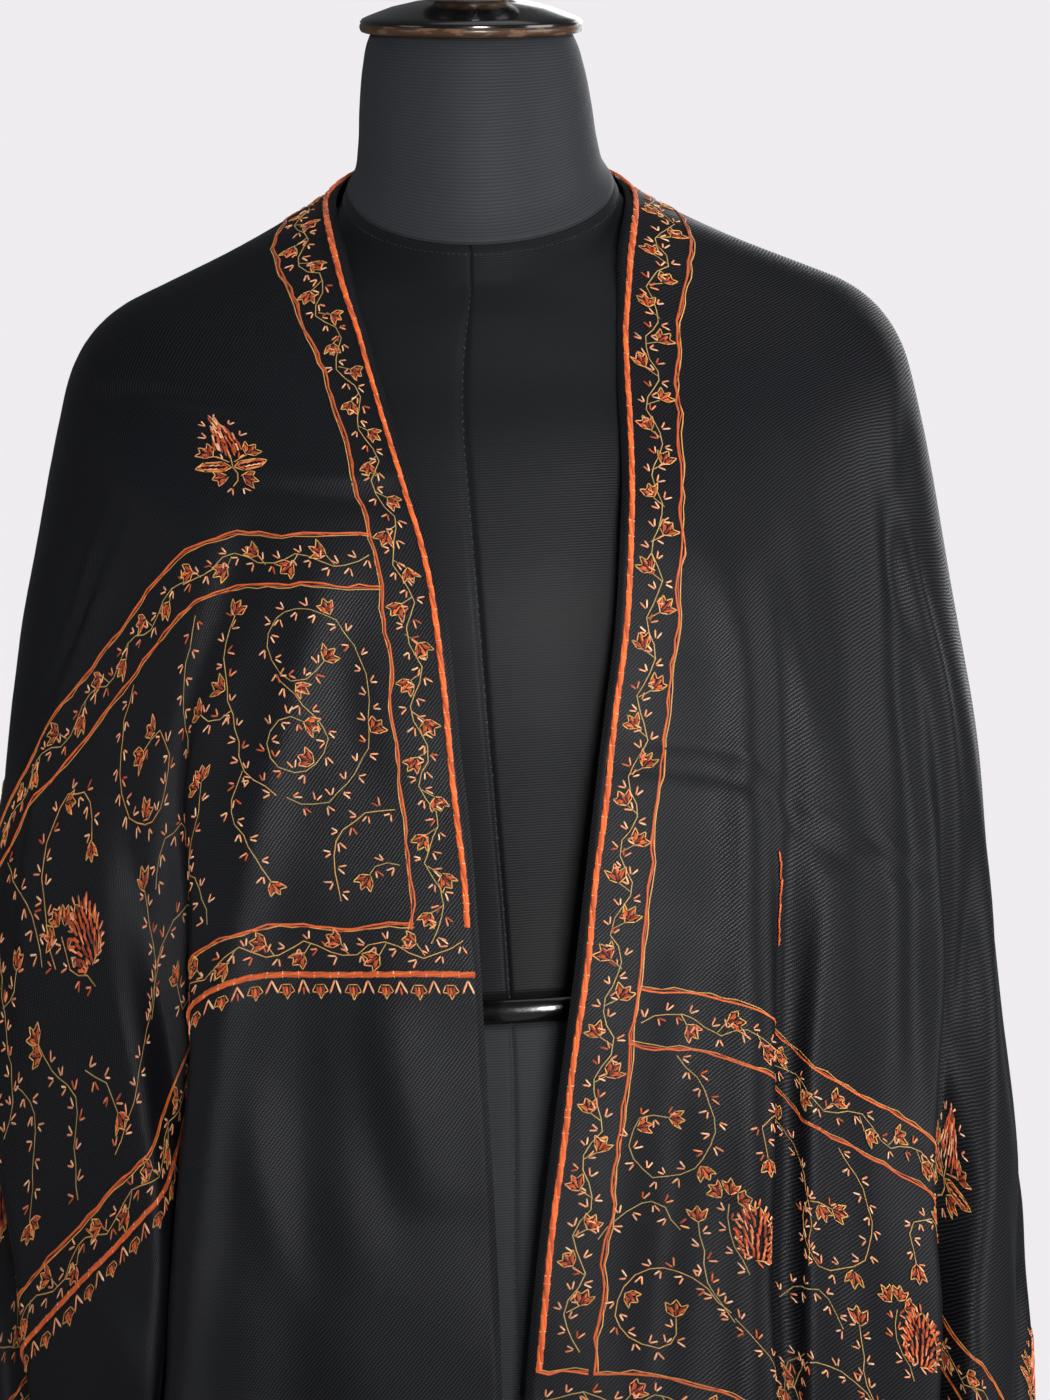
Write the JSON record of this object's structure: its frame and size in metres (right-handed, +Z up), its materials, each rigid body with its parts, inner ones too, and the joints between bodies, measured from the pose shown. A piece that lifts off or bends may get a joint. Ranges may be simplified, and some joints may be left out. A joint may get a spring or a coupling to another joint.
{
  "type": "embroidered stole on a limbless dress form",
  "caption": "Long black stole with needle-embroidered borders, resting over the shoulders of a limbless dress form on a pole stand.",
  "frame": {"origin": "on the floor, under the middle of the part's box", "axes": "+Z up, -Y towards the front of the form, +X towards the wearer's left"},
  "size_m": [0.695, 0.35, 1.5962],
  "materials": {
    "black_twill": "black wool twill, soft sheen, worked with orange, peach and olive embroidery",
    "black_jersey": "fine ribbed black jersey, matt",
    "charcoal_cover": "ribbed charcoal cotton, matt",
    "black_lacquer": "gloss black lacquer over wood, worn at the rim",
    "black_iron": "satin black enamel over iron"
  },
  "bodies": {
    "root": {"stole_front_right": "black_twill", "stole_shoulder_right": "black_twill", "stole_back": "black_twill", "stole_shoulder_left": "black_twill", "stole_front_left": "black_twill", "neck_cap": "black_lacquer", "neck_block": "charcoal_cover", "torso": "black_jersey", "waist_band": "black_lacquer", "hip_block": "black_jersey", "pole": "black_iron", "base": "black_iron"}
  },
  "joints": []
}
